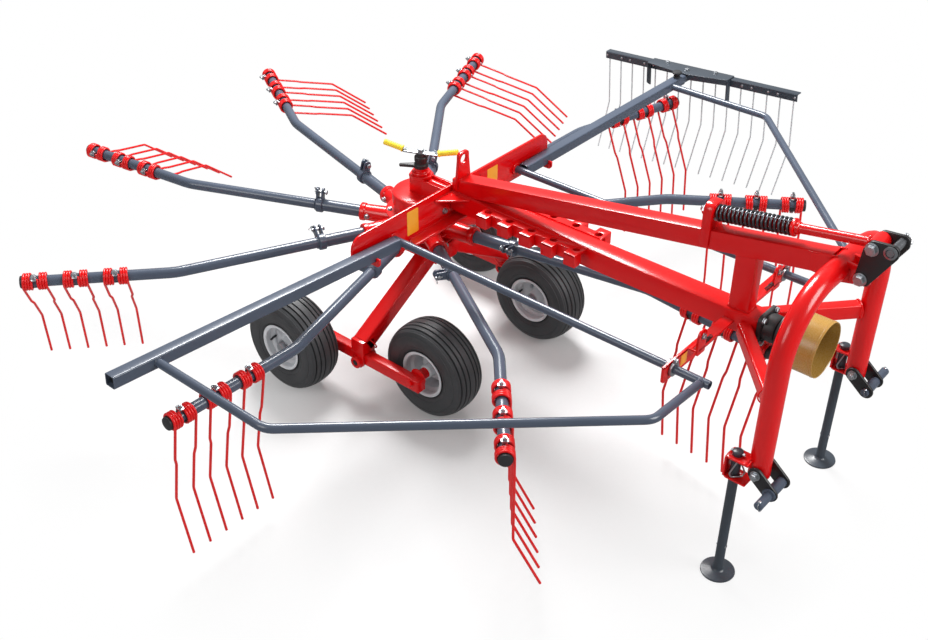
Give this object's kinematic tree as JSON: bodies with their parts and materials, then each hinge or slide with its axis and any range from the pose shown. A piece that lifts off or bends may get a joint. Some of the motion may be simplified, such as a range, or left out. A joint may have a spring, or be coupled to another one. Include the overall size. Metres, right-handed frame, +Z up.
{
  "type": "rotary hay rake",
  "caption": "Tractor-mounted rotary hay rake with radial spring-tine arms, tandem-wheel bogie, fold-up side guards, swath curtain and arched hitch frame.",
  "frame": {"origin": "bottom centre of the bounding box, on the ground under the whole rake", "axes": "+Z up; -Y towards the tractor; +X towards the swath side with the curtain"},
  "size_m": [3.0442, 3.159, 1.12],
  "materials": {
    "red_paint": "glossy powder coat",
    "red_tine": "powder coated spring steel",
    "slate_paint": "satin powder coat",
    "anthracite_paint": "satin powder coat",
    "black_steel": "satin black paint",
    "cast_black": "painted cast iron",
    "galvanised": "zinc plated steel",
    "bright_steel": "bare steel",
    "yellow_grip": "moulded grip",
    "gold_plastic": "moulded guard",
    "rim_paint": "silver paint",
    "tyre": "rubber"
  },
  "bodies": {
    "frame": {"bearing_housing": "cast_black", "bogie_beams": "red_paint", "bogie_legs": "red_paint", "crank": "galvanised", "crank_grips": "yellow_grip", "cross_beam": "red_paint", "damper_rod": "red_paint", "damper_spring": "black_steel", "front_stay": "red_paint", "gear_case": "red_paint", "headstock": "red_paint", "hitch_lugs": "black_steel", "lower_beam": "red_paint", "pto_guard": "gold_plastic", "rocker": "black_steel", "upper_beam": "red_paint"},
    "rotor": {"rotor_hub": "red_paint", "tine_arms": "slate_paint", "tines_1": "red_tine", "tines_2": "red_tine", "tines_3": "red_tine", "tines_4": "red_tine", "tines_5": "red_tine", "tines_6": "red_tine", "tines_7": "red_tine", "tines_8": "red_tine", "tines_9": "red_tine"},
    "drive": {"drive_shaft": "bright_steel"},
    "guard_left_frame": {"guard_left": "slate_paint"},
    "guard_right_frame": {"guard_right": "slate_paint"},
    "curtain": {"curtain_arm": "slate_paint", "curtain_bar": "anthracite_paint", "curtain_head": "anthracite_paint", "curtain_tines": "galvanised"},
    "stand_left_leg": {"stand_left": "slate_paint"},
    "stand_right_leg": {"stand_right": "slate_paint"},
    "wheel_rear_left": {"tyre_rear_left": "tyre", "rim_rear_left": "rim_paint"},
    "wheel_rear_right": {"tyre_rear_right": "tyre", "rim_rear_right": "rim_paint"},
    "wheel_front_left": {"tyre_front_left": "tyre", "rim_front_left": "rim_paint"},
    "wheel_front_right": {"tyre_front_right": "tyre", "rim_front_right": "rim_paint"}
  },
  "joints": [
    {"name": "rotor_spin", "type": "hinge", "parent": "frame", "child": "rotor", "pos_m": [-0.02389, 0.17347, 0.52], "axis": [0, 0, 1], "continuous": true},
    {"name": "drive_spin", "type": "hinge", "parent": "frame", "child": "drive", "pos_m": [-0.02389, -1.22653, 0.69], "axis": [0, -1, 0], "continuous": true},
    {"name": "wheel_rear_left_spin", "type": "hinge", "parent": "frame", "child": "wheel_rear_left", "pos_m": [0.50111, 0.34347, 0.1825], "axis": [1, 0, 0], "continuous": true},
    {"name": "wheel_rear_right_spin", "type": "hinge", "parent": "frame", "child": "wheel_rear_right", "pos_m": [-0.54889, 0.34347, 0.1825], "axis": [1, 0, 0], "continuous": true},
    {"name": "wheel_front_left_spin", "type": "hinge", "parent": "frame", "child": "wheel_front_left", "pos_m": [0.28511, -0.15653, 0.1825], "axis": [1, 0, 0], "continuous": true},
    {"name": "wheel_front_right_spin", "type": "hinge", "parent": "frame", "child": "wheel_front_right", "pos_m": [-0.33289, -0.15653, 0.1825], "axis": [1, 0, 0], "continuous": true},
    {"name": "guard_left_fold", "type": "hinge", "parent": "frame", "child": "guard_left_frame", "pos_m": [0.31111, -0.52653, 0.663], "axis": [0, -1, 0], "range_deg": [0, 95]},
    {"name": "guard_right_fold", "type": "hinge", "parent": "frame", "child": "guard_right_frame", "pos_m": [-0.35889, -0.52653, 0.663], "axis": [0, 1, 0], "range_deg": [0, 90]},
    {"name": "curtain_reach", "type": "slide", "parent": "guard_left_frame", "child": "curtain", "axis": [1, 0, 0], "range_m": [0, 0.3]},
    {"name": "stand_left_slide", "type": "slide", "parent": "frame", "child": "stand_left_leg", "axis": [0, 0, 1], "range_m": [0, 0.28]},
    {"name": "stand_right_slide", "type": "slide", "parent": "frame", "child": "stand_right_leg", "axis": [0, 0, 1], "range_m": [0, 0.28]}
  ],
  "couplings": [
    {"joint": "drive_spin", "follows": "rotor_spin", "ratio": 7}
  ]
}
